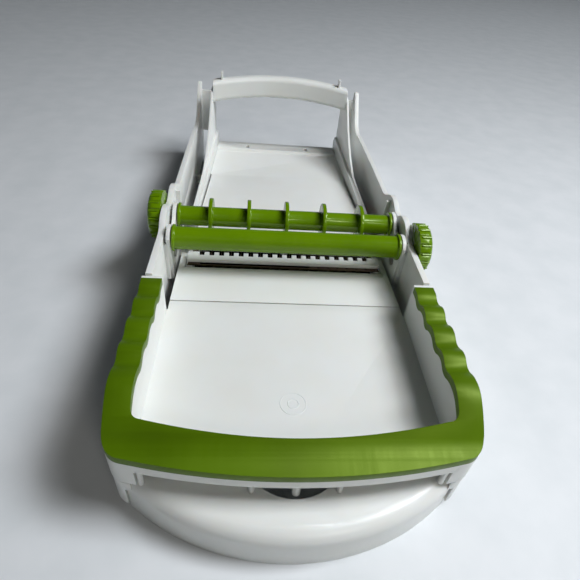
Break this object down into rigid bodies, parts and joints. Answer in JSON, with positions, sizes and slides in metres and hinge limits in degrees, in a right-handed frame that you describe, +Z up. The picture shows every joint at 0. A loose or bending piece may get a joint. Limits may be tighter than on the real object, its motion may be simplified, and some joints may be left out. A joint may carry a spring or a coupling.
{
  "type": "vegetable dicer",
  "caption": "Mandoline-style vegetable dicer lying flat: bowed feed tray with soft green rim, sloping ramp, steel blade and comb, green rollers with side knobs, rear frame with arched handle.",
  "frame": {"origin": "centre of the bounding box at the table surface under the feet", "axes": "+X to the right seen from the feed end, +Y from the feed tray to the far handle, +Z up"},
  "size_m": [0.1464, 0.334, 0.077],
  "materials": {
    "white_abs": "moulded ABS, satin gloss, warm white",
    "green_abs": "moulded ABS, glossy lime green",
    "green_tpe": "soft-touch rubber, matt green",
    "white_pom": "acetal, satin",
    "blade_steel": "ground and polished stainless steel",
    "steel": "turned stainless steel",
    "grey_rubber": "soft rubber, matt grey"
  },
  "bodies": {
    "housing": {"feed_tray": "white_abs", "grip_rim": "green_tpe", "left_side_frame": "white_abs", "right_side_frame": "white_abs", "left_roller_bracket": "white_abs", "right_roller_bracket": "white_abs", "plain_roller_bushes": "white_pom", "finned_roller_bushes": "white_pom", "bracket_screws": "steel", "frame_screws": "steel", "rubber_feet": "grey_rubber", "rear_crossbar": "white_abs", "blade_holder": "white_abs", "comb_bar": "white_abs", "slicing_blade": "blade_steel", "julienne_teeth": "blade_steel", "blade_rivets": "steel", "ramp_hinge_rod": "steel", "frame_pivot_pins": "steel", "stand_pins": "steel"},
    "plain_roller_set": {"plain_roller": "green_abs", "plain_roller_axle": "steel", "right_knob": "green_abs", "right_knob_screw": "steel"},
    "finned_roller_set": {"finned_roller": "green_abs", "finned_roller_axle": "steel", "left_knob": "green_abs", "left_knob_screw": "steel"},
    "ramp": {"ramp_plate": "white_abs"},
    "rear_frame": {"left_rail": "white_abs", "right_rail": "white_abs", "landing_deck": "white_abs", "handle_bar": "white_abs"},
    "stand": {"stand_foot": "white_abs"}
  },
  "joints": [
    {"name": "plain_roller_turn", "type": "hinge", "parent": "housing", "child": "plain_roller_set", "pos_m": [0, -0.031, 0.045], "axis": [1, 0, 0], "continuous": true},
    {"name": "finned_roller_turn", "type": "hinge", "parent": "housing", "child": "finned_roller_set", "pos_m": [0, -0.0085, 0.0444], "axis": [-1, 0, 0], "continuous": true},
    {"name": "ramp_tilt", "type": "hinge", "parent": "housing", "child": "ramp", "pos_m": [0, -0.0588, 0.0226], "axis": [1, 0, 0], "range_deg": [-5, 2.4]},
    {"name": "rear_frame_swing", "type": "hinge", "parent": "housing", "child": "rear_frame", "pos_m": [0, 0.017, 0.026], "axis": [1, 0, 0], "range_deg": [0, 35]},
    {"name": "stand_fold", "type": "hinge", "parent": "housing", "child": "stand", "pos_m": [0, -0.134, 0.011], "axis": [1, 0, 0], "range_deg": [0, 65]}
  ]
}
